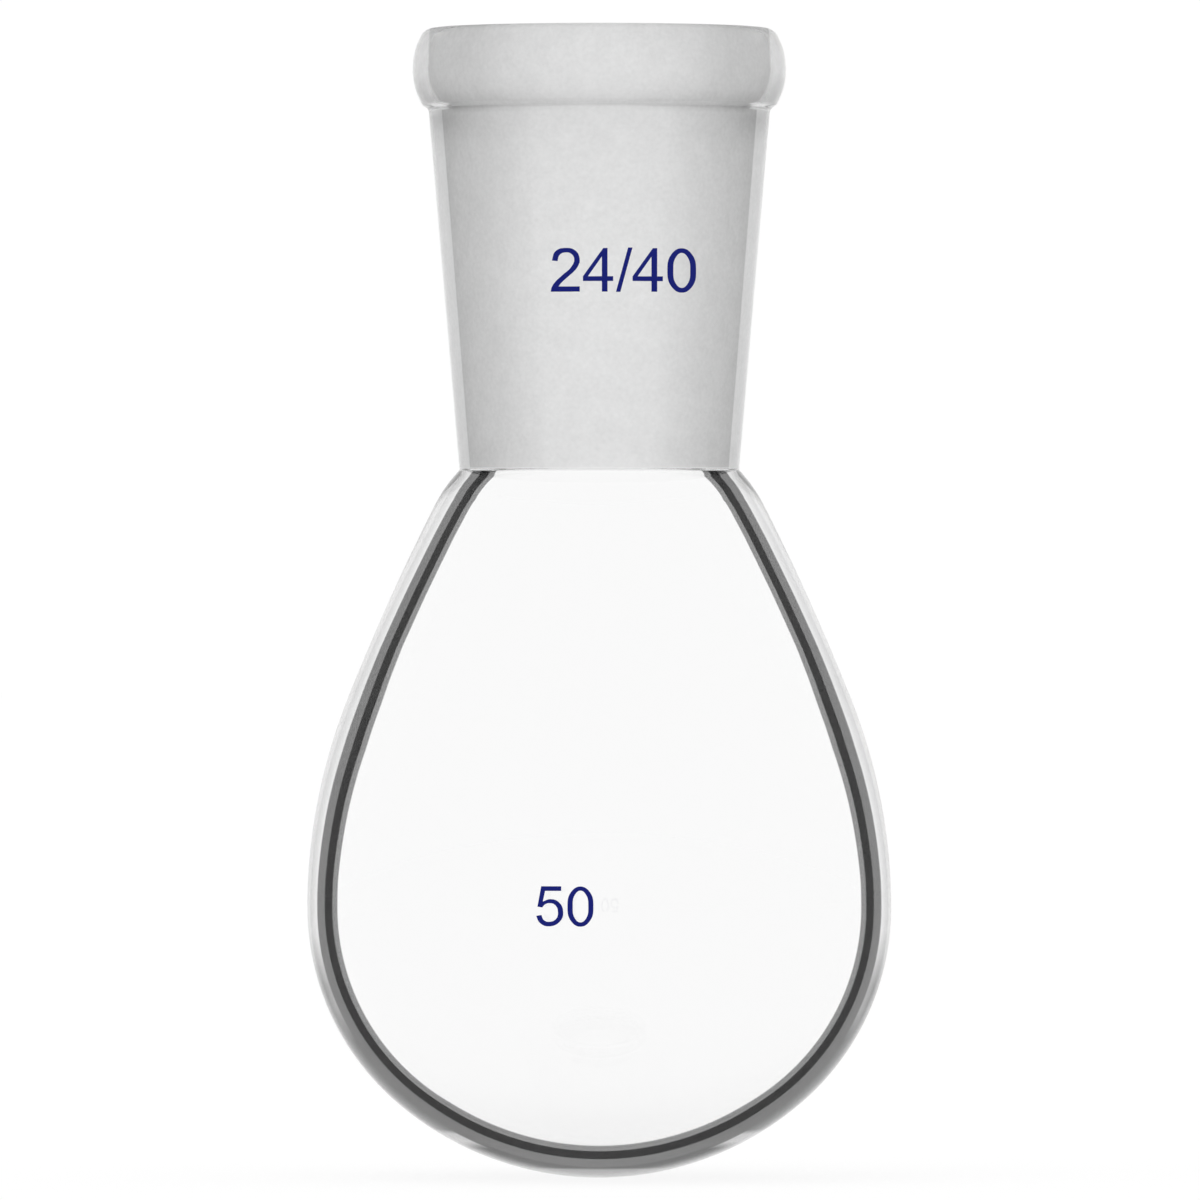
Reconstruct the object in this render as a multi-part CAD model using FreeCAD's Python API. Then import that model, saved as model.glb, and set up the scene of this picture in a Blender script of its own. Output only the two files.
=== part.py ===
import FreeCAD, Part
import math
import os

# Recovery flask: a pear-shaped bulb blown in one piece with a ground glass socket and a rolled collar.
# Lengths are millimetres. The origin is the middle of the mouth, on the flat rim. +Z is up and the bulb below.

# Ground socket, standard taper 24/40
mouth_bore = 24.0               # diameter of the ground cone at the rim
joint_length = 40.0             # length of the ground zone, from the rim down
joint_taper = 0.1               # loss of diameter for each millimetre of length
mouth_rounding = 0.4            # radius that breaks the rim's inner edge
throat_bore = 19.6              # clear bore where the grinding stops, a little under the small end

# Neck, outside
neck_top_diameter = 30.9        # just under the collar
neck_end_diameter = 25.3        # where the bulb's shoulder begins
shoulder_rise = 0.25            # how far above the ground zone's end the shoulder begins
neck_root_fillet = 0.6          # where the neck runs out into the shoulder

# Rolled collar round the mouth
collar_diameter = 33.8          # at its widest
collar_height = 7.4
collar_corner = 1.3             # rounding of both edges
collar_edge_angle = 28.0        # degrees from the axis where the bulging side meets a corner
collar_root_fillet = 0.4        # where the collar's underside meets the neck

# Bulb, outside
bulb_diameter = 52.8            # at the belly
belly_drop = 39.75              # from the shoulder's top to the belly
bowl_depth = 24.6               # from the belly to the lowest point
shoulder_angle = 44.0           # degrees from the axis at the neck
shoulder_rounding = 12.5
flank_angle = 27.0              # degrees from the axis where the flank leaves the shoulder

# Wall of the bulb
belly_wall = 2.2
bottom_wall = 2.5
inner_shoulder_angle = 50.0     # degrees from the axis at the throat
inner_shoulder_rounding = 9.5

glass_density = 2.23            # grams for each millilitre

origin = FreeCAD.Vector(0, 0, 0)
upward = FreeCAD.Vector(0, 0, 1)
downward = FreeCAD.Vector(0, 0, -1)
inward = FreeCAD.Vector(-1, 0, 0)
neck_length = joint_length - shoulder_rise
belly_z = -neck_length - belly_drop


# A point of the half section, by its radius and height
def at(radius, z):
    return FreeCAD.Vector(radius, 0, z)


# The way down and out from the axis by an angle in degrees
def heading(angle):
    turn = math.radians(angle)
    return FreeCAD.Vector(math.sin(turn), 0, -math.cos(turn))


# The way out of the wall where the outline has that heading
def outward(angle):
    turn = math.radians(angle)
    return FreeCAD.Vector(math.cos(turn), 0, math.sin(turn))


def line(start, end):
    return Part.LineSegment(start, end).toShape()


# The arc that touches the legs from start to corner and from corner to end, which are equally long
def arc_in_corner(start, corner, end):
    chord_middle = (start + end) / 2
    half_turn_cosine = (end - start).Length / 2 / (corner - start).Length
    middle = chord_middle + (corner - chord_middle) * (half_turn_cosine / (1 + half_turn_cosine))
    return Part.Arc(start, middle, end).toShape()


# Two arcs that touch each other and take the outline smoothly from one point and heading to another
def smooth_pair(start, start_heading, end, end_heading):
    gap = end - start
    square = 2 * (start_heading.dot(end_heading) - 1)
    linear = -2 * gap.dot(start_heading + end_heading)
    leg = (-linear - math.sqrt(linear ** 2 - 4 * square * gap.dot(gap))) / (2 * square)
    first_corner = start + start_heading * leg
    second_corner = end - end_heading * leg
    join = (first_corner + second_corner) / 2
    return [arc_in_corner(start, first_corner, join), arc_in_corner(join, second_corner, end)]


# One side of the bulb's wall from the neck to the lowest point: rounded shoulder, flank, belly and bowl
def bulb_side(top, top_angle, rounding, belly, lowest):
    centre = top - outward(top_angle) * rounding
    shoulder_middle = centre + outward((top_angle + flank_angle) / 2) * rounding
    shoulder_end = centre + outward(flank_angle) * rounding
    shoulder = Part.Arc(top, shoulder_middle, shoulder_end).toShape()
    flank = smooth_pair(shoulder_end, heading(flank_angle), belly, downward)
    bowl = smooth_pair(belly, downward, lowest, inward)
    return [shoulder] + flank + bowl


# A solid of revolution from the edges of a half section that starts and ends on the axis
def turned(edges):
    first = edges[0].Vertexes[0].Point
    last = edges[-1].Vertexes[-1].Point
    section = Part.Face(Part.Wire(edges + [line(last, first)]))
    return section.revolve(origin, upward, 360)


# The round edge of a solid that lies nearest to a point of the half section
def round_edge(solid, radius, z):
    rings = [edge for edge in solid.Edges if not edge.Degenerated and isinstance(edge.Curve, Part.Circle)]
    return min(rings, key=lambda ring: math.hypot(ring.Curve.Radius - radius, ring.Curve.Center.z - z))


# A ring with a bulging side between two rounded corners. Its middle is filled: the cavity is cut later.
def collar():
    edge_turn = math.radians(collar_edge_angle)
    bulge_half_height = collar_height / 2 - collar_corner * (1 - math.sin(edge_turn))
    bulge_radius = bulge_half_height / math.sin(edge_turn)
    bulge = bulge_radius * (1 - math.cos(edge_turn))
    corner_z = -collar_corner
    corner_centre = at(collar_diameter / 2 - bulge - collar_corner * math.cos(edge_turn), corner_z)
    face_edge = corner_centre + outward(90) * collar_corner
    corner_middle = corner_centre + outward((90 + collar_edge_angle) / 2) * collar_corner
    bulge_start = corner_centre + outward(collar_edge_angle) * collar_corner
    upper = [at(0, 0), face_edge, corner_middle, bulge_start]
    lower = [at(p.x, -collar_height - p.z) for p in upper]
    widest = at(collar_diameter / 2, -collar_height / 2)
    return turned([line(upper[0], upper[1]),
                   Part.Arc(upper[1], upper[2], upper[3]).toShape(),
                   Part.Arc(upper[3], widest, lower[3]).toShape(),
                   Part.Arc(lower[3], lower[2], lower[1]).toShape(),
                   line(lower[1], lower[0])])


# The neck and bulb as one solid, before they are hollowed. The neck starts inside the collar's middle.
def body():
    lean = (neck_top_diameter - neck_end_diameter) / 2 / (neck_length - collar_height)
    top_z = -collar_height / 2
    neck_top = at(neck_top_diameter / 2 + lean * (top_z + collar_height), top_z)
    neck_end = at(neck_end_diameter / 2, -neck_length)
    belly = at(bulb_diameter / 2, belly_z)
    lowest = at(0, belly_z - bowl_depth)
    side = bulb_side(neck_end, shoulder_angle, shoulder_rounding, belly, lowest)
    return turned([line(at(0, top_z), neck_top), line(neck_top, neck_end)] + side)


# All that is empty: the ground cone, the step where the grinding stops, and the inside of the bulb
def cavity():
    cone_end_radius = (mouth_bore - joint_taper * joint_length) / 2
    mouth = at(mouth_bore / 2, 0)
    cone_end = at(cone_end_radius, -joint_length)
    throat = at(throat_bore / 2, -joint_length)
    belly = at(bulb_diameter / 2 - belly_wall, belly_z)
    lowest = at(0, belly_z - bowl_depth + bottom_wall)
    side = bulb_side(throat, inner_shoulder_angle, inner_shoulder_rounding, belly, lowest)
    return turned([line(at(0, 0), mouth), line(mouth, cone_end), line(cone_end, throat)] + side)


def flask():
    blank = body().fuse(collar())
    blank = blank.makeFillet(collar_root_fillet, [round_edge(blank, neck_top_diameter / 2, -collar_height)])
    blank = blank.makeFillet(neck_root_fillet, [round_edge(blank, neck_end_diameter / 2, -neck_length)])
    hollow = blank.cut(cavity())
    return hollow.makeFillet(mouth_rounding, [round_edge(hollow, mouth_bore / 2, 0)]).Solids[0]


os.makedirs("parts", exist_ok=True)
shape = flask()
shape.exportStep("parts/flask.step")
glass_volume = shape.Volume / 1000
print("flask: valid", shape.isValid(), "solids", len(shape.Solids), "faces", len(shape.Faces))
print("glass %.2f ml, weight %.1f g" % (glass_volume, glass_volume * glass_density))
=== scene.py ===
import math

import bmesh
import bpy
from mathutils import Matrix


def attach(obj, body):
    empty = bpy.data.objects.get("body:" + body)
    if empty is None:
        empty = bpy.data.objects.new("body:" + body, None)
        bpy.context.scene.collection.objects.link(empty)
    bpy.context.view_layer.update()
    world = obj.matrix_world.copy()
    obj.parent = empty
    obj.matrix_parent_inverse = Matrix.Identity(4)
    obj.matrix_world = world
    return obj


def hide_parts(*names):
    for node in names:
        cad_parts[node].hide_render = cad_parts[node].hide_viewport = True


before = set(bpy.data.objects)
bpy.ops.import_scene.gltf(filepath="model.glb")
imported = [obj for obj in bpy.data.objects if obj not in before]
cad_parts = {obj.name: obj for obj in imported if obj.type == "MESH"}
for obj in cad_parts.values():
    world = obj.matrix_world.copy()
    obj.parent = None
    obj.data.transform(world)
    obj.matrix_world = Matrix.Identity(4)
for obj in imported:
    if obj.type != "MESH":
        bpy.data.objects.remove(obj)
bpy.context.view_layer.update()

# Recovery flask: clear pear-shaped bulb, ground glass socket under a rolled collar, blue enamel numerals.
# Dictionaries hold millimetres and degrees, meshes are in metres. The socket's mouth is at z = 0.

metre = 0.001


# A socket in a sum: each operator adds the Math node that it stands for
class Wire:
    def __init__(self, finish, socket):
        self.finish = finish
        self.socket = socket

    def maths(self, operation, first, second):
        return self.finish.maths(operation, first, second)

    def __add__(self, other):
        return self.maths("ADD", self, other)

    def __radd__(self, other):
        return self.maths("ADD", other, self)

    def __sub__(self, other):
        return self.maths("SUBTRACT", self, other)

    def __rsub__(self, other):
        return self.maths("SUBTRACT", other, self)

    def __mul__(self, other):
        return self.maths("MULTIPLY", self, other)

    def __rmul__(self, other):
        return self.maths("MULTIPLY", other, self)


# The node tree of a material or of the world, started afresh
class Finish:
    def __init__(self, owner):
        owner.use_nodes = True
        self.owner = owner
        self.tree = owner.node_tree
        self.tree.nodes.clear()

    # Any node: its settings first, then the values or wires of its sockets
    def add(self, kind, settings=None, sockets=None, output=0):
        node = self.tree.nodes.new(kind)
        for name, value in (settings or {}).items():
            if name == "stops":
                self.setStops(node.color_ramp, value)
            else:
                setattr(node, name, value)
        for name, value in (sockets or {}).items():
            if isinstance(value, Wire):
                self.tree.links.new(value.socket, node.inputs[name])
            else:
                node.inputs[name].default_value = value
        return Wire(self, node.outputs[output]) if node.outputs else node

    def maths(self, operation, first, second=0.0):
        return self.add("ShaderNodeMath", {"operation": operation}, {0: first, 1: second})

    # Stops are (place, brightness)
    def setStops(self, ramp, stops):
        while len(ramp.elements) < len(stops):
            ramp.elements.new(1.0)
        for element, (place, level) in zip(ramp.elements, stops):
            element.position = place
            element.color = (level, level, level, 1)

    # 0 where the surface faces the eye, 1 where it is seen edge on
    def facing(self):
        return self.add("ShaderNodeLayerWeight", {}, {"Blend": 0.5}, "Facing")

    # The facing round the flask's axis only. An eye from above also sees the wall at a slant along the
    # flask's length, where it bends light no more than a flat pane does: slantShare of that is taken out.
    def facingRound(self, slantShare):
        leastLevel, leastKept = 0.02, 0.05   # keep the divisions sound where the wall lies level
        normal = self.add("ShaderNodeNewGeometry", {}, {}, "Normal")
        lean = self.add("ShaderNodeSeparateXYZ", {}, {0: normal}, "Z")
        outward = self.add("ShaderNodeVectorMath", {"operation": "SCALE"}, {0: normal, "Scale": lean})
        upward = self.add("ShaderNodeVectorMath", {"operation": "SUBTRACT"}, {0: (0, 0, 1), 1: outward})
        upTheWall = self.add("ShaderNodeVectorMath", {"operation": "NORMALIZE"}, {0: upward})
        across = 1 - self.facing()
        lengthways = 1 - self.add("ShaderNodeLayerWeight", {}, {"Blend": 0.5, "Normal": upTheWall}, "Facing")
        level = self.maths("MAXIMUM", 1 - lean * lean, leastLevel)
        slant = lengthways * lengthways - self.maths("DIVIDE", across * across * lean * lean, level)
        kept = 1 - self.maths("MAXIMUM", slant, 0.0) * slantShare
        return 1 - self.maths("DIVIDE", across, self.maths("SQRT", self.maths("MAXIMUM", kept, leastKept)))

    # The facing as if the leaning wall stood upright, with the radius of the widest place
    def aside(self, widest):
        leastUpright = 0.02                  # keeps the division sound where the wall lies level
        normal = self.add("ShaderNodeNewGeometry", {}, {}, "Normal")
        lean = self.add("ShaderNodeSeparateXYZ", {}, {0: normal}, "Z")
        upright = self.maths("SQRT", self.maths("MAXIMUM", 1 - lean * lean, leastUpright))
        faced = self.maths("DIVIDE", 1 - self.facing(), upright)
        level = self.add("ShaderNodeVectorMath", {"operation": "MULTIPLY"}, {0: self.place(), 1: (1, 1, 0)})
        radius = self.add("ShaderNodeVectorMath", {"operation": "LENGTH"}, {0: level}, "Value")
        reach = radius * (1 / (widest * metre))
        across = (1 - faced * faced) * reach * reach
        return 1 - self.maths("SQRT", self.maths("MAXIMUM", 1 - across, 0.0))

    # 1 where a ray meets the outer side of a face, 0 where it comes from inside the glass or under the floor
    def fromOutside(self):
        return 1 - self.add("ShaderNodeNewGeometry", {}, {}, "Backfacing")

    def place(self):
        return self.add("ShaderNodeTexCoord", {}, {}, "Object")

    def height(self):
        return self.add("ShaderNodeSeparateXYZ", {}, {0: self.place()}, "Z")

    def grain(self, size, detail=2.0):
        return self.add("ShaderNodeTexNoise", {}, {"Vector": self.place(), "Scale": 1 / (size * metre),
                                                   "Detail": detail}, "Fac")


# Linear brightness of a grey that reads 0 to 255 on screen
def toneOf(grey):
    level = grey / 255
    return level / 12.92 if level <= 0.04045 else ((level + 0.055) / 1.055) ** 2.4


glass = {
    "refraction": 1.47,          # borosilicate
    "tint": (0.971, 0.971, 0.971, 1),
    "rippleSize": 9.0,           # the blown wall's slow waviness
    "rippleDepth": 0.02,
    "rippleStrength": 0.25,
}


# Clear or ground glass as a shader
def glassShader(finish, tint, roughness, normal, refraction=glass["refraction"]):
    return finish.add("ShaderNodeBsdfPrincipled", {}, {
        "Base Color": tint, "Roughness": roughness, "IOR": refraction,
        "Transmission Weight": 1.0, "Normal": normal}, "BSDF")


# Painted shade: a black shader for the dark beside the white field, put where a real wall would bend dark
# surroundings into view
def shadeShader(finish):
    return finish.add("ShaderNodeBsdfPrincipled", {}, {
        "Base Color": (0.0, 0.0, 0.0, 1), "Roughness": 1.0, "Specular IOR Level": 0.0}, "BSDF")


def ripple(finish):
    return finish.add("ShaderNodeBump", {}, {
        "Strength": glass["rippleStrength"], "Distance": glass["rippleDepth"] * metre,
        "Height": finish.grain(glass["rippleSize"], 1.0)}, "Normal")


# How dark each grey is, as the share of the light that is kept back
def shadeRamp(finish, greys, seen):
    stops = [(place, 1 - toneOf(grey)) for place, grey in greys]
    return finish.add("ShaderNodeValToRGB", {"stops": stops}, {"Fac": seen})


# 0 to 1 as a value goes from start to end
def share(finish, value, start, end):
    return finish.add("ShaderNodeMapRange", {}, {
        "Value": value, "From Min": start, "From Max": end}, "Result")


def heightShare(finish, start, end):
    return share(finish, finish.height(), start * metre, end * metre)


# Clear outside wall with painted shade: it keeps back the share called shade of the light on its way in, as
# black mixed over the glass
def walledFinish(finish, shade):
    clear = glassShader(finish, glass["tint"], 0.0, ripple(finish))
    dark = shade * finish.fromOutside()
    mixed = finish.add("ShaderNodeMixShader", {}, {0: dark, 1: clear, 2: shadeShader(finish)})
    finish.add("ShaderNodeOutputMaterial", {}, {"Surface": mixed})
    return finish.owner


# Painted shade of the bands that the wall shows, as greys at each facing: a grey and a dark one round the
# white field
paintedBandGreys = [(0.000, 255), (0.556, 255), (0.560, 150), (0.593, 150), (0.598, 67), (0.657, 67),
             (0.663, 135), (0.735, 136)]

# Painted shade of the strip outside those bands, pale on the flank and a gradient of grey from the belly down
paintedStripGreys = {
    "flank": [(0.749, 242), (0.800, 230), (0.845, 226), (0.875, 242), (1.000, 250)],
    "under": [(0.752, 188), (0.825, 168), (0.860, 190), (0.925, 225), (0.960, 240), (1.000, 250)],
    "bowl": [(0.752, 138), (0.800, 158), (0.850, 180), (0.885, 200), (0.915, 220), (0.950, 242),
             (1.000, 252)],
    # glint: a painted highlight, pale patches low on the bulb at each side
    "glint": [(0.750, 134), (0.762, 150), (0.772, 210), (0.860, 220), (0.920, 238), (1.000, 250)],
    "sole": [(0.750, 124), (0.775, 128), (0.790, 131), (0.805, 142), (0.820, 154), (0.845, 176), (0.870, 192),
             (0.920, 222), (1.000, 250)],
    "foot": [(0.748, 170), (0.820, 188), (0.865, 204), (0.915, 214), (1.000, 245)],
}

# How far the wall's share of the radius moves the bands in, by height
bandShift = [(-77.0, 0.000), (-70.0, 0.019), (-65.0, 0.037), (-62.0, 0.038), (-59.0, 0.034), (-56.0, 0.037),
             (-51.0, 0.061), (-46.0, 0.092), (-42.7, 0.121), (-40.3, 0.082)]

# Pairs of heights, here and for the neck and collar, are (start, end): a share goes from 0 to 1 between them
bulbShade = {
    "round": (-84.0, -76.0),     # above here the bands follow the facing round the axis only
    "strips": [("under", -81.5, -86.5), ("bowl", -88.5, -91.5), ("glint", -99.4, -99.8),
               ("sole", -100.5, -101.1), ("foot", -102.80, -103.00)],
    "foot": (-99.0, -103.0),
    "footLift": 0.15,            # the foot stands in its own shadow, so its bands keep back less
    "shiftScale": 5,             # widens the small shifts to a ramp's range
}


# Painted shade on the bulb: dark bands and grey strips by facing and height, mixed as black over the clear
# glass
def bulbFinish():
    finish = Finish(bpy.data.materials.new("bulbGlass"))
    lowest, highest, scale = bandShift[0][0], bandShift[-1][0], bulbShade["shiftScale"]
    stops = [((z - lowest) / (highest - lowest), shift * scale) for z, shift in bandShift]
    shift = finish.add("ShaderNodeValToRGB", {"stops": stops}, {"Fac": heightShare(finish, lowest, highest)})
    seen = finish.facingRound(heightShare(finish, *bulbShade["round"])) + shift * (1 / scale)
    shade = shadeRamp(finish, paintedBandGreys + paintedStripGreys["flank"], seen)
    for zone, start, end in bulbShade["strips"]:
        lower = shadeRamp(finish, paintedBandGreys + paintedStripGreys[zone], seen)
        shade = shade + (lower - shade) * heightShare(finish, start, end)
    light = (1 - shade) * (1 + heightShare(finish, *bulbShade["foot"]) * bulbShade["footLift"])
    return walledFinish(finish, 1 - light)


# Matt glass of the socket's cone
ground = {
    "refraction": 1.12,          # below the glass's own, so that the wall mirrors nothing at a slant
    "roughness": 0.92,
    "roughnessSpread": 0.1,
    "dull": (0.835, 0.838, 0.838, 1),
    "pale": (0.995, 0.995, 0.995, 1),
    "chalk": 0.2,                # share of the light that a ground face sends back into the bore
    "chalkRoughness": 0.8,
    "chalkSheen": 0.2,
    "gritSize": 0.16,            # marks of the grinding
    "gritDepth": 0.01,
    "gritStrength": 0.3,
    "speckleSize": 0.38,         # clusters of marks
    "speckleShare": 0.6,
    "speckleSeen": 0.12,         # how strongly they show through the clear wall
    "cloudSize": 1.8,            # cloudy patches
    "cloudShare": 0.4,
    "cloudSeen": 0.07,
}


# Speckle of the ground cone as it shows through the clear wall
def mattGrit(finish):
    speckle = (finish.grain(ground["speckleSize"], 3.0) - 0.5) * ground["speckleSeen"]
    return speckle + (finish.grain(ground["cloudSize"], 2.0) - 0.5) * ground["cloudSeen"]


# Painted shade in the groove where the neck meets the collar
groove = {
    "matt": 0.57,                # the greatest facing there, short of the paler edges
    "asideGain": 1.55,           # turns a place aside into a facing
    "sides": (0.43, 0.36),       # the shade ends at the first place aside and is full at the second
}


# In the groove the painted shade goes by the wall's place aside, because it leans too steeply for its facing
# to tell
def inGroove(finish, seen, aside, meets):
    meeting = heightShare(finish, *meets)
    seen = finish.maths("MINIMUM", seen, 1 - meeting * (1 - groove["matt"]))
    return finish.maths("MAXIMUM", seen, aside * meeting * groove["asideGain"])


# A share that comes in between two heights and between two places aside
def patch(finish, aside, heights, sides):
    return heightShare(finish, *heights) * share(finish, aside, *sides)


# Painted shade of the matt neck by facing: pale in the middle, greyer to the sides, with a paler clear strip
# at the edge
neckPaintedGreys = [(0.00, 251), (0.07, 248), (0.12, 241), (0.18, 234), (0.27, 226), (0.38, 219), (0.61, 210),
             (0.622, 240), (0.76, 246), (0.86, 252), (1.00, 255)]

neckShade = {
    "grooveMeets": (-7.8, -7.5),
    # groove: painted shade in the groove under the collar, fading out to the sides
    "groove": (-7.95, -7.40),
    "grooveMiddle": 0.04,
    "grooveSides": 0.7,
    "upper": (-22.0, -7.4),      # painted shade: the neck darkens slowly towards the collar
    "upperShade": 0.06,
    # top: more painted shade just under the collar
    "top": (-10.5, -8.0),
    "topShade": 0.025,
    "clearEnd": (-39.72, -39.92),    # the glass past the ground cone is clear
    "clearShare": 0.9,
}


# The ground cone behind it makes the neck matt, so fine grit shows; its grey from middle to sides, towards
# the collar and in the groove is painted shade
def neckFinish():
    finish = Finish(bpy.data.materials.new("neckGlass"))
    aside = finish.aside(flask["collar"] / 2)
    seen = inGroove(finish, finish.facingRound(1.0), aside, neckShade["grooveMeets"])
    shade = shadeRamp(finish, neckPaintedGreys, seen) + mattGrit(finish)
    shade = shade + heightShare(finish, *neckShade["upper"]) * neckShade["upperShade"]
    shade = shade + heightShare(finish, *neckShade["top"]) * neckShade["topShade"]
    shade = shade * (1 - heightShare(finish, *neckShade["clearEnd"]) * neckShade["clearShare"])
    sides = aside * share(finish, aside, *groove["sides"]) * neckShade["grooveSides"]
    dark = heightShare(finish, *neckShade["groove"]) * (sides + neckShade["grooveMiddle"])
    return walledFinish(finish, 1 - (1 - shade) * (1 - dark))


# Painted shade of the matt collar by facing and place aside, with a paler strip at its edges
collarPaintedGreys = [(0.00, 244), (0.08, 238), (0.20, 225), (0.29, 217), (0.592, 217), (0.602, 243),
               (0.72, 249), (0.85, 254), (1.00, 255)]

collarShade = {
    "grooveMeets": (-6.7, -7.0),
    # groove: painted shade in the groove under the collar, toward the sides
    "groove": (-6.85, -7.10),
    "grooveSides": 0.95,
    "bulge": (-3.0, -4.6),       # above by the place aside, below by the facing
    # rim: painted shade, a dark line along the top of the rim
    "rim": (-0.40, -0.15),
    "rimSides": (0.45, 0.30),
    "rimShade": 0.07,
    # under: painted shade low on the collar
    "under": (-5.9, -6.8),
    "underSides": (0.50, 0.40),
    "underMiddle": 0.02,
    "underShade": 0.12,
    "corner": (-1.7, -0.5),      # painted light: the rim's corners are paler
    "cornerSides": (0.38, 0.50),
    "cornerLight": 0.11,
}


# Painted shade: the collar darkens along the rim, low down and in the groove under it, and painted light
# makes the rim's corners paler
def collarFinish():
    finish = Finish(bpy.data.materials.new("collarGlass"))
    aside = finish.aside(flask["collar"] / 2)
    seen = aside + (finish.facing() - aside) * heightShare(finish, *collarShade["bulge"])
    seen = inGroove(finish, seen, aside, collarShade["grooveMeets"])
    rim = patch(finish, aside, collarShade["rim"], collarShade["rimSides"]) * collarShade["rimShade"]
    under = patch(finish, aside, collarShade["under"], collarShade["underSides"])
    under = under * (seen * collarShade["underShade"] + collarShade["underMiddle"])
    corner = patch(finish, aside, collarShade["corner"], collarShade["cornerSides"])
    corner = corner * collarShade["cornerLight"]
    shade = shadeRamp(finish, collarPaintedGreys, seen) + rim + under - corner + mattGrit(finish)
    dark = patch(finish, aside, collarShade["groove"], groove["sides"]) * aside * collarShade["grooveSides"]
    return walledFinish(finish, 1 - (1 - shade) * (1 - dark))


def innerFinish():
    finish = Finish(bpy.data.materials.new("clearGlassInside"))
    clear = glassShader(finish, glass["tint"], 0.0, ripple(finish))
    finish.add("ShaderNodeOutputMaterial", {}, {"Surface": clear})
    return finish.owner


# The socket's cone, matt from grinding: fine grit marks over slightly cloudy patches
def groundFinish():
    finish = Finish(bpy.data.materials.new("groundGlass"))
    speckle = finish.grain(ground["speckleSize"], 3.0)
    clouds = finish.grain(ground["cloudSize"], 2.0)
    pale = finish.add("ShaderNodeMix", {"data_type": "RGBA"}, {
        "Factor": speckle * ground["speckleShare"] + clouds * ground["cloudShare"],
        "A": ground["dull"], "B": ground["pale"]}, 2)
    bumps = finish.add("ShaderNodeBump", {}, {
        "Strength": ground["gritStrength"], "Distance": ground["gritDepth"] * metre,
        "Height": finish.grain(ground["gritSize"], 3.0)}, "Normal")
    roughness = ground["roughness"] + (clouds - 0.5) * ground["roughnessSpread"]
    through = glassShader(finish, pale, roughness, bumps, ground["refraction"])
    chalky = finish.add("ShaderNodeBsdfPrincipled", {}, {
        "Base Color": pale, "Roughness": ground["chalkRoughness"],
        "Specular IOR Level": ground["chalkSheen"], "Normal": bumps}, "BSDF")
    mixed = finish.add("ShaderNodeMixShader", {}, {
        0: finish.fromOutside() * ground["chalk"], 1: through, 2: chalky})
    finish.add("ShaderNodeOutputMaterial", {}, {"Surface": mixed})
    return finish.owner


flask = {
    "mouthBore": 24.0,
    "jointLength": 40.0,
    "jointTaper": 0.1,
    "mouthRounding": 0.4,
    "throatBore": 19.6,
    "neckTop": 30.9,
    "neckEnd": 25.3,
    "neckLean": 5.0,             # to the nearest degree
    "shoulderRise": 0.05,
    "neckRootFillet": 0.35,
    "collar": 33.8,
    "collarHeight": 7.4,
    "collarCorner": 1.3,
    "collarEdgeAngle": 28.0,
    "collarRootFillet": 0.4,
    "bulb": 52.8,
    "bellyDrop": 39.55,
    "bowlDepth": 24.42,
    "shoulderAngle": 44.0,
    "shoulderRounding": 12.5,
    "flankAngle": 27.0,
    "bellyWall": 2.2,
    "bottomWall": 2.5,
    "innerShoulderAngle": 45.0,
    "innerShoulderRounding": 9.5,
    "step": 0.75,                # length of a facet along the outline
    "facets": 192,               # round the axis
    "crease": 50.0,              # edges that turn more than this stay sharp
}

bellyZ = -flask["jointLength"] + flask["shoulderRise"] - flask["bellyDrop"]
bottomZ = bellyZ - flask["bowlDepth"]


def towards(angle):
    turn = math.radians(angle)
    return math.sin(turn), -math.cos(turn)


def along(point, way, distance):
    return point[0] + way[0] * distance, point[1] + way[1] * distance


def linePoints(start, end):
    count = max(1, round(math.dist(start, end) / flask["step"]))
    return [(start[0] + (end[0] - start[0]) * k / count, start[1] + (end[1] - start[1]) * k / count)
            for k in range(1, count + 1)]


# The arc that touches two equally long legs, from start to corner and from corner to end
def arcPoints(start, corner, end):
    weight = math.dist(start, end) / 2 / math.dist(start, corner)
    count = max(4, round(math.dist(start, end) / flask["step"]))
    points = []
    for k in range(1, count + 1):
        t = k / count
        a, b, c = (1 - t) ** 2, 2 * weight * t * (1 - t), t * t
        points.append(tuple((a * p + b * q + c * r) / (a + b + c) for p, q, r in zip(start, corner, end)))
    return points


def roundPoints(centre, radius, first, last):
    count = max(4, round(abs(math.radians(last - first)) * radius / flask["step"]))
    angles = [math.radians(first + (last - first) * k / count) for k in range(1, count + 1)]
    return [(centre[0] + radius * math.cos(a), centre[1] + radius * math.sin(a)) for a in angles]


# Two arcs that touch, from one point and way to another
def smoothPair(start, startWay, end, endWay):
    gap = end[0] - start[0], end[1] - start[1]
    square = 2 * (startWay[0] * endWay[0] + startWay[1] * endWay[1] - 1)
    linear = -2 * (gap[0] * (startWay[0] + endWay[0]) + gap[1] * (startWay[1] + endWay[1]))
    leg = (-linear - math.sqrt(linear ** 2 - 4 * square * (gap[0] ** 2 + gap[1] ** 2))) / (2 * square)
    first, second = along(start, startWay, leg), along(end, endWay, -leg)
    join = (first[0] + second[0]) / 2, (first[1] + second[1]) / 2
    return arcPoints(start, first, join) + arcPoints(join, second, end)


# From the top of the shoulder down to the lowest point. The first skip degrees of the shoulder are left out.
def bulbSide(top, topAngle, rounding, belly, lowest, skip=0.0):
    centre = along(top, (math.cos(math.radians(topAngle)), math.sin(math.radians(topAngle))), -rounding)
    side = roundPoints(centre, rounding, topAngle - skip, flask["flankAngle"])
    side += smoothPair(side[-1], towards(flask["flankAngle"]), belly, (0, -1))
    return side + smoothPair(belly, (0, -1), lowest, (-1, 0))


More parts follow.
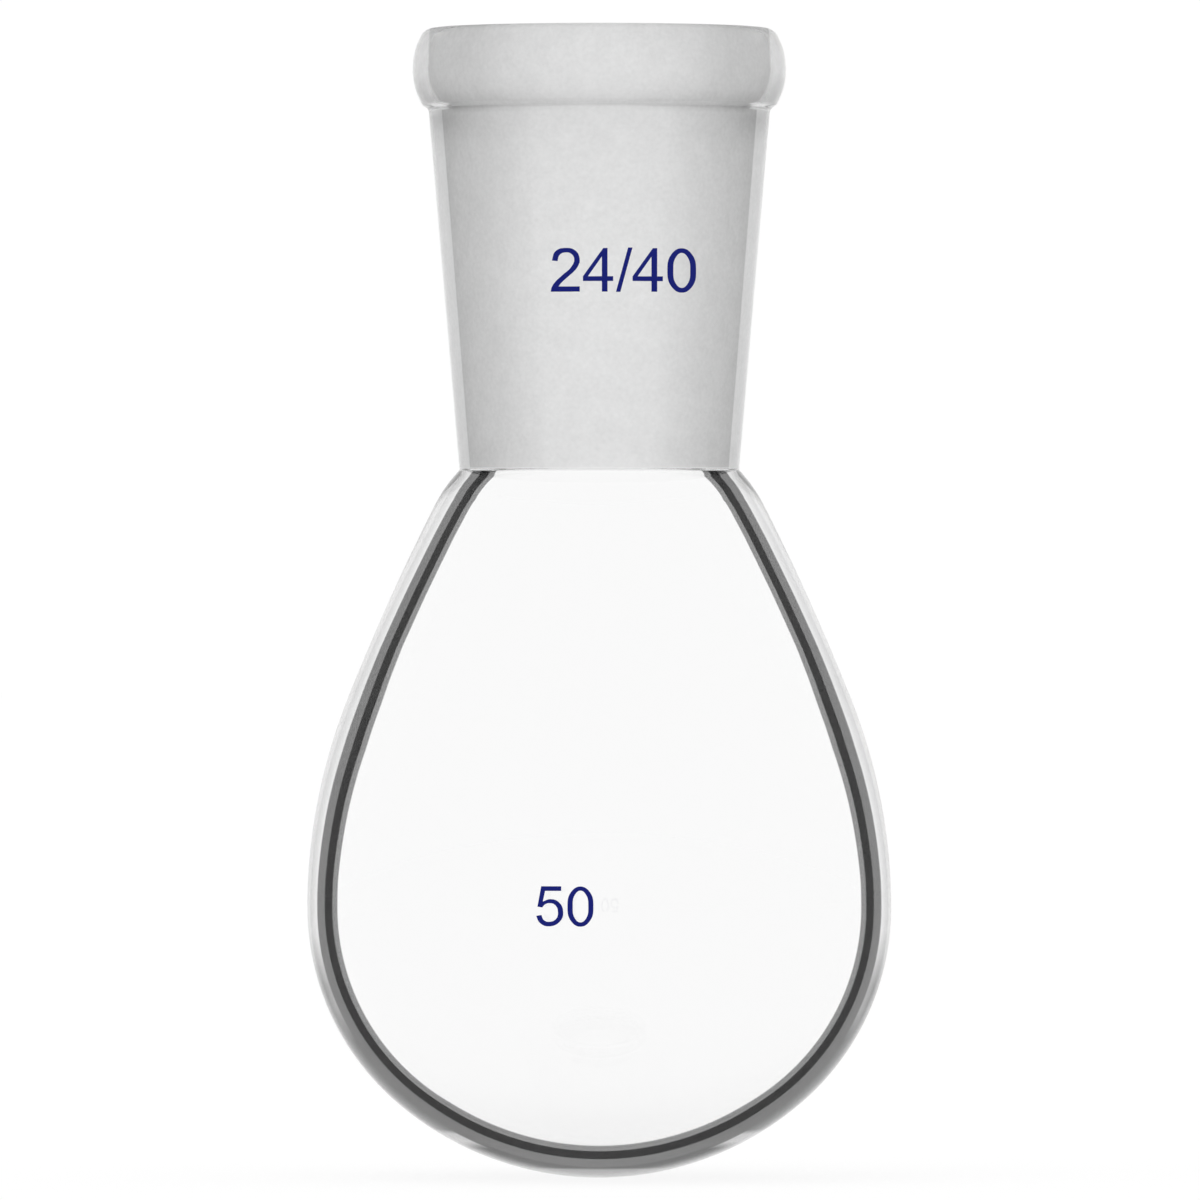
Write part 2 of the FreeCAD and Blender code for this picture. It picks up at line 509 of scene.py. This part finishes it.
# Collar, neck and bulb from the rim's inner edge down to the lowest point, each with its finish
def outerWall():
    turn = math.radians(flask["collarEdgeAngle"])
    corner, tall = flask["collarCorner"], flask["collarHeight"]
    bulgeRadius = (tall / 2 - corner * (1 - math.sin(turn))) / math.sin(turn)
    cornerX = flask["collar"] / 2 - bulgeRadius * (1 - math.cos(turn)) - corner * math.cos(turn)
    rimEdge = flask["mouthBore"] / 2 + flask["mouthRounding"], 0.0
    collar = [rimEdge] + linePoints(rimEdge, (cornerX, 0.0))
    collar += roundPoints((cornerX, -corner), corner, 90, flask["collarEdgeAngle"])
    collar += roundPoints((flask["collar"] / 2 - bulgeRadius, -tall / 2), bulgeRadius,
                          flask["collarEdgeAngle"], -flask["collarEdgeAngle"])
    neckTop = flask["neckTop"] / 2, -tall
    neckEnd = flask["neckEnd"] / 2, flask["shoulderRise"] - flask["jointLength"]
    neckLong = math.dist(neckTop, neckEnd)
    neckWay = (neckEnd[0] - neckTop[0]) / neckLong, (neckEnd[1] - neckTop[1]) / neckLong
    meetAngle = -math.degrees(math.acos((flask["neckTop"] / 2 - cornerX) / corner))
    meetTurn = math.radians(meetAngle)
    meet = cornerX + corner * math.cos(meetTurn), corner * (1 + math.sin(meetTurn)) - tall
    underTurn = 90 + meetAngle + math.degrees(math.asin(-neckWay[0])) + 90
    rootLeg = flask["collarRootFillet"] * math.tan(math.radians(180 - underTurn) / 2)
    lastAngle = meetAngle + math.degrees(rootLeg / corner)
    collar += roundPoints((cornerX, corner - tall), corner, -flask["collarEdgeAngle"], lastAngle)
    neckStart = along(meet, neckWay, rootLeg)
    neck = arcPoints(collar[-1], meet, neckStart)
    leg = flask["neckRootFillet"] * math.tan(math.radians(flask["shoulderAngle"] + flask["neckLean"]) / 2)
    filletStart = along(neckEnd, neckWay, -leg)
    neck += linePoints(neckStart, filletStart)
    shoulderStart = along(neckEnd, towards(flask["shoulderAngle"]), leg)
    neck += arcPoints(filletStart, neckEnd, shoulderStart)
    skip = math.degrees(leg / flask["shoulderRounding"])
    bulb = bulbSide(neckEnd, flask["shoulderAngle"], flask["shoulderRounding"],
                    (flask["bulb"] / 2, bellyZ), (0.0, bottomZ), skip)
    return [(collar, "collar"), (neck, "neck"), (bulb, "bulb")]


# Ground cone, step and inside of the bulb, from the mouth down to the lowest point
def innerWall():
    edge, rounding = flask["mouthBore"] / 2, flask["mouthRounding"]
    coneEnd = edge - flask["jointTaper"] * flask["jointLength"] / 2, -flask["jointLength"]
    throat = flask["throatBore"] / 2, -flask["jointLength"]
    coneWay = (coneEnd[0] - edge) / flask["jointLength"], -1.0
    coneStart = along((edge, 0.0), coneWay, rounding)
    mouth = arcPoints((edge + rounding, 0.0), (edge, 0.0), coneStart)
    cone = linePoints(coneStart, coneEnd)
    inside = [throat] + bulbSide(throat, flask["innerShoulderAngle"], flask["innerShoulderRounding"],
                                 (flask["bulb"] / 2 - flask["bellyWall"], bellyZ),
                                 (0.0, bottomZ + flask["bottomWall"]))
    return [(mouth, "collar"), (cone, "cone"), (inside, "inside")]


# Outline points turned round the axis into one closed wall. Each stretch is (points, finish index).
def turnedMesh(name, stretches, facets):
    points, slots = [], []
    for stretch, slot in stretches:
        points += stretch
        slots += [slot] * len(stretch)
    vertices, rings = [], []
    for radius, z in points:
        if radius < 1e-6:
            rings.append([len(vertices)])
            vertices.append((0.0, 0.0, z * metre))
            continue
        rings.append(range(len(vertices), len(vertices) + facets))
        for k in range(facets):
            turn = 2 * math.pi * k / facets
            vertices.append((radius * metre * math.cos(turn), radius * metre * math.sin(turn), z * metre))
    faces, finishes = [], []
    for index, (upper, slot) in enumerate(zip(rings, slots)):
        following = (index + 1) % len(rings)
        lower = rings[following]
        for k in range(facets):
            nextK = (k + 1) % facets
            if len(upper) == 1 and len(lower) == 1:
                break
            if len(upper) == 1:
                faces.append((upper[0], lower[k], lower[nextK]))
            elif len(lower) == 1:
                faces.append((upper[k], lower[0], upper[nextK]))
            else:
                faces.append((upper[k], lower[k], lower[nextK], upper[nextK]))
            finishes.append(slots[following])
    mesh = bpy.data.meshes.new(name)
    mesh.from_pydata(vertices, [], faces)
    mesh.polygons.foreach_set("material_index", finishes)
    mesh.polygons.foreach_set("use_smooth", [True] * len(faces))
    mesh.validate()
    return mesh


def makeFlask():
    finishes = {
        "collar": collarFinish(),
        "neck": neckFinish(),
        "bulb": bulbFinish(),
        "cone": groundFinish(),
        "inside": innerFinish(),
    }
    names = list(finishes)
    outside = [(points, names.index(part)) for points, part in outerWall()]
    inside = [(points[::-1], names.index(part)) for points, part in reversed(innerWall())]
    mesh = turnedMesh("flaskGlass", outside + inside, flask["facets"])
    for finish in finishes.values():
        mesh.materials.append(finish)
    body = bpy.data.objects.new("flaskGlass", mesh)
    bpy.context.collection.objects.link(body)
    sharpen(body)
    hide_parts("flask")
    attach(body, "root")
    print("flask:", len(mesh.polygons), "faces")
    return body


# Keeps the step under the ground cone crisp, and points every face out of the glass
def sharpen(body):
    work = bmesh.new()
    work.from_mesh(body.data)
    bmesh.ops.remove_doubles(work, verts=work.verts, dist=1e-7)
    bmesh.ops.recalc_face_normals(work, faces=work.faces)
    for edge in work.edges:
        edge.smooth = edge.calc_face_angle(0.0) < math.radians(flask["crease"])
    work.to_mesh(body.data)
    work.free()


# Radius of the outside at a height
def outsideRadius(z):
    outline = [point for points, part in outerWall() for point in points if part != "collar"]
    for upper, lower in zip(outline, outline[1:]):
        if upper[1] >= z > lower[1]:
            return upper[0] + (lower[0] - upper[0]) * (z - upper[1]) / (lower[1] - upper[1])
    return outline[0][0]


enamel = {
    "deepBlue": (0.0060, 0.0110, 0.160, 1),
    "brightBlue": (0.0100, 0.0165, 0.210, 1),
    "sheen": 0.08,
    "roughness": 0.38,
    "roughnessSpread": 0.15,
    "speckSize": 0.09,
    "speckDepth": 0.01,
    "speckStrength": 0.2,
    "patchSize": 1.2,
    "stand": 0.03,               # how far the print stands proud of the glass
    "bite": 0.02,                # how far it goes into it
    "cell": 0.35,                # facet size, so that the print follows the round wall
    "touch": 1e-4,               # points nearer than this are one
    "sliver": 0.012,             # facets thinner than this are closed up
    "curveSteps": 8,
    "crease": 40.0,
    "jointHeight": 3.93, "jointZ": -24.06,
    "joint": [("two", -4.35), ("four", -1.47), ("stroke", 1.49), ("four", 2.98), ("zero", 6.11)],
    "capacityHeight": 3.54, "capacityZ": -80.70,
    "capacity": [("five", -5.61), ("zero", -2.83)],
}

# Closed outlines in thousandths of the numerals' height, from the foot of the left edge; 1 marks a corner
numerals = {
    "two": [[(26, 710, 1), (106, 919, 0), (348, 997, 0), (577, 923, 0), (661, 725, 0), (633, 605, 0),
             (556, 490, 0), (367, 318, 0), (230, 190, 0), (177, 119, 1), (661, 119, 1), (661, 0, 1),
             (0, 0, 1), (18, 90, 0), (98, 218, 0), (256, 368, 0), (478, 578, 0), (535, 725, 0),
             (487, 845, 0), (348, 894, 0), (206, 842, 0), (152, 694, 1)]],
    "four": [[(432, 0, 1), (432, 242, 1), (0, 242, 1), (0, 348, 1), (465, 994, 1), (561, 994, 1),
              (561, 352, 1), (690, 352, 1), (690, 242, 1), (561, 242, 1), (561, 0, 1)],
             [(432, 352, 1), (432, 800, 1), (116, 352, 1)]],
    "stroke": [[(0, -6, 1), (278, 1006, 1), (377, 1006, 1), (100, -6, 1)]],
    "zero": [[(0, 494, 0), (84, 848, 0), (326, 997, 0), (568, 848, 0), (652, 494, 0), (568, 132, 0),
              (326, -16, 0), (84, 132, 0)],
             [(132, 494, 0), (190, 790, 0), (326, 890, 0), (464, 790, 0), (523, 494, 0), (464, 190, 0),
              (326, 94, 0), (190, 190, 0)]],
    "five": [[(126, 1000, 1), (628, 1000, 1), (628, 883, 1), (224, 883, 1), (166, 614, 1), (350, 677, 0),
              (570, 600, 0), (677, 368, 0), (610, 130, 0), (327, -9, 0), (90, 80, 0), (0, 256, 1),
              (130, 278, 1), (193, 150, 0), (327, 108, 0), (498, 180, 0), (547, 345, 0), (484, 520, 0),
              (341, 574, 0), (215, 538, 0), (152, 466, 1), (31, 484, 1)]],
}


def enamelFinish():
    finish = Finish(bpy.data.materials.new("blueEnamel"))
    specks = finish.grain(enamel["speckSize"], 3.0)
    patches = finish.grain(enamel["patchSize"], 2.0)
    blue = finish.add("ShaderNodeMix", {"data_type": "RGBA"}, {
        "Factor": specks * 0.5 + patches * 0.5,
        "A": enamel["deepBlue"], "B": enamel["brightBlue"]}, 2)
    bumps = finish.add("ShaderNodeBump", {}, {
        "Strength": enamel["speckStrength"], "Distance": enamel["speckDepth"] * metre,
        "Height": specks}, "Normal")
    paint = finish.add("ShaderNodeBsdfPrincipled", {}, {
        "Base Color": blue, "Roughness": enamel["roughness"] + patches * enamel["roughnessSpread"],
        "Normal": bumps, "Specular IOR Level": enamel["sheen"]}, "BSDF")
    finish.add("ShaderNodeOutputMaterial", {}, {"Surface": paint})
    return finish.owner


# The flat outline of a row of numerals, in millimetres from the axis and the row's foot
def flatRow(row, height):
    curve = bpy.data.curves.new("numeralOutline", "CURVE")
    curve.dimensions = "2D"
    curve.fill_mode = "BOTH"
    curve.resolution_u = enamel["curveSteps"]
    for name, left in row:
        for loop in numerals[name]:
            spline = curve.splines.new("BEZIER")
            spline.bezier_points.add(len(loop) - 1)
            spline.use_cyclic_u = True
            for point, (u, v, corner) in zip(spline.bezier_points, loop):
                point.co = (left + u * height / 1000, v * height / 1000, 0)
                kind = "VECTOR" if corner else "AUTO"
                point.handle_left_type = point.handle_right_type = kind
    holder = bpy.data.objects.new("numeralOutline", curve)
    bpy.context.collection.objects.link(holder)
    bpy.context.view_layer.update()
    flat = bpy.data.meshes.new_from_object(holder.evaluated_get(bpy.context.evaluated_depsgraph_get()))
    bpy.data.objects.remove(holder)
    return flat


# A row of numerals as a thin closed shell wrapped on the front of the glass
def makeNumerals(name, row, height, foot, finish):
    flat = flatRow(row, height)
    cell, touch, sliver = enamel["cell"], enamel["touch"], enamel["sliver"]
    work = bmesh.new()
    work.from_mesh(flat)
    bmesh.ops.remove_doubles(work, verts=work.verts, dist=touch)
    for axis in (0, 1):
        lowest = min(v.co[axis] for v in work.verts)
        highest = max(v.co[axis] for v in work.verts)
        way = [0, 0, 0]
        way[axis] = 1
        for k in range(1, int((highest - lowest) / cell) + 1):
            spot = [0, 0, 0]
            spot[axis] = lowest + k * cell
            bmesh.ops.bisect_plane(work, geom=work.verts[:] + work.edges[:] + work.faces[:],
                                   plane_co=spot, plane_no=way, dist=touch)
    bmesh.ops.remove_doubles(work, verts=work.verts, dist=sliver)
    bmesh.ops.dissolve_degenerate(work, edges=work.edges, dist=sliver)
    bmesh.ops.triangulate(work, faces=work.faces)
    work.normal_update()
    front, back = [], []
    for vertex in work.verts:
        x, z = vertex.co.x, foot + vertex.co.y
        radius = outsideRadius(z)
        angle = math.asin(x / radius)
        for points, depth in ((front, enamel["stand"]), (back, -enamel["bite"])):
            points.append(((radius + depth) * math.sin(angle) * metre,
                           -(radius + depth) * math.cos(angle) * metre, z * metre))
    work.verts.index_update()
    count = len(front)
    faces = [[v.index for v in face.verts] for face in work.faces]
    edges = [edge for edge in work.edges if len(edge.link_faces) == 1]
    sides = []
    for edge in edges:
        loop = edge.link_loops[0]
        a, b = loop.vert.index, loop.link_loop_next.vert.index
        sides.append([b, a, a + count, b + count])
    mesh = bpy.data.meshes.new(name)
    mesh.from_pydata(front + back, [], faces + [[i + count for i in face[::-1]] for face in faces] + sides)
    work.free()
    work = bmesh.new()
    work.from_mesh(mesh)
    bmesh.ops.recalc_face_normals(work, faces=work.faces)
    for edge in work.edges:
        edge.smooth = edge.calc_face_angle(0.0) < math.radians(enamel["crease"])
    for face in work.faces:
        face.smooth = True
    work.to_mesh(mesh)
    work.free()
    mesh.materials.append(finish)
    marks = bpy.data.objects.new(name, mesh)
    bpy.context.collection.objects.link(marks)
    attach(marks, "root")
    print(name + ":", len(mesh.polygons), "faces")
    return marks


studio = {
    "floorZ": bottomZ,
    "floorHalf": 8000.0,
    "floorColour": (0.80, 0.80, 0.80, 1),
    "floorRoughness": 0.9,
    "floorGlow": 0.86,
    "floorShine": 1.04,
    "worldLight": 0.84,
    "worldShine": 1.01,
    # Name, where it shines from, strength, and spread in degrees
    "lamps": [("keyLamp", (-0.35, -0.25, 1.0), 0.42, 35), ("fillLamp", (0.4, -0.1, 0.9), 0.20, 45)],
}


# 1 for rays that the eye follows straight, by mirror or through glass, and 0 for scattered light
def seenDirectly(finish):
    path = finish.add("ShaderNodeLightPath", {}, {}, "Is Camera Ray").socket.node
    camera, glossy, through, bounces = [Wire(finish, path.outputs[name]) for name in (
        "Is Camera Ray", "Is Glossy Ray", "Is Transmission Ray", "Diffuse Depth")]
    direct = finish.maths("MAXIMUM", finish.maths("MAXIMUM", camera, glossy), through)
    return direct * (1 - finish.maths("MINIMUM", bounces, 1.0))


def makeStudio():
    floorMesh = bpy.data.meshes.new("floor")
    half, level = studio["floorHalf"] * metre, studio["floorZ"] * metre
    corners = [(x * half, y * half, level) for x, y in ((-1, -1), (1, -1), (1, 1), (-1, 1))]
    floorMesh.from_pydata(corners, [], [(0, 1, 2, 3)])
    finish = Finish(bpy.data.materials.new("paleFloor"))
    matt = finish.add("ShaderNodeBsdfPrincipled", {}, {
        "Base Color": studio["floorColour"], "Roughness": studio["floorRoughness"],
        "Specular IOR Level": 0.0}, "BSDF")
    white = finish.add("ShaderNodeEmission", {}, {"Color": (1, 1, 1, 1), "Strength": studio["floorShine"]})
    glow = seenDirectly(finish) * studio["floorGlow"]
    fromAbove = finish.add("ShaderNodeMixShader", {}, {0: glow, 1: matt, 2: white})
    fromBelow = finish.add("ShaderNodeBsdfTransparent")
    mixed = finish.add("ShaderNodeMixShader", {}, {0: 1 - finish.fromOutside(), 1: fromAbove, 2: fromBelow})
    finish.add("ShaderNodeOutputMaterial", {}, {"Surface": mixed})
    floorMesh.materials.append(finish.owner)
    floor = bpy.data.objects.new("floor", floorMesh)
    bpy.context.collection.objects.link(floor)

    world = bpy.data.worlds.new("whiteStudio")
    bpy.context.scene.world = world
    finish = Finish(world)
    soft = finish.add("ShaderNodeBackground", {}, {"Color": (1, 1, 1, 1), "Strength": studio["worldLight"]})
    white = finish.add("ShaderNodeBackground", {}, {"Color": (1, 1, 1, 1), "Strength": studio["worldShine"]})
    mixed = finish.add("ShaderNodeMixShader", {}, {0: seenDirectly(finish), 1: soft, 2: white})
    finish.add("ShaderNodeOutputWorld", {}, {"Surface": mixed})

    for name, spot, power, spread in studio["lamps"]:
        data = bpy.data.lights.new(name, "SUN")
        data.angle = math.radians(spread)
        data.energy = power
        lamp = bpy.data.objects.new(name, data)
        lamp.location = spot
        lamp.rotation_euler = (-lamp.location).to_track_quat("-Z", "Y").to_euler()
        lamp.visible_glossy = lamp.visible_transmission = lamp.visible_camera = False
        bpy.context.collection.objects.link(lamp)
    print("studio: floor, world and", len(studio["lamps"]), "lamps")


# The eye looks level at the flask's middle from far in front
eye = {"x": 0.063, "distance": 1600.0, "z": -51.7, "lens": 530.9, "sensor": 36.0}


def makeCamera():
    data = bpy.data.cameras.new("camera")
    data.sensor_width = eye["sensor"]
    data.lens = eye["lens"]
    camera = bpy.data.objects.new("camera", data)
    camera.location = (eye["x"] * metre, -eye["distance"] * metre, eye["z"] * metre)
    camera.rotation_euler = (math.radians(90), 0, 0)
    bpy.context.collection.objects.link(camera)
    bpy.context.scene.camera = camera
    bpy.context.scene.view_settings.view_transform = "Standard"


makeCamera()
makeStudio()
makeFlask()
paint = enamelFinish()
makeNumerals("jointNumerals", enamel["joint"], enamel["jointHeight"], enamel["jointZ"], paint)
makeNumerals("capacityNumerals", enamel["capacity"], enamel["capacityHeight"], enamel["capacityZ"], paint)

bpy.context.view_layer.update()
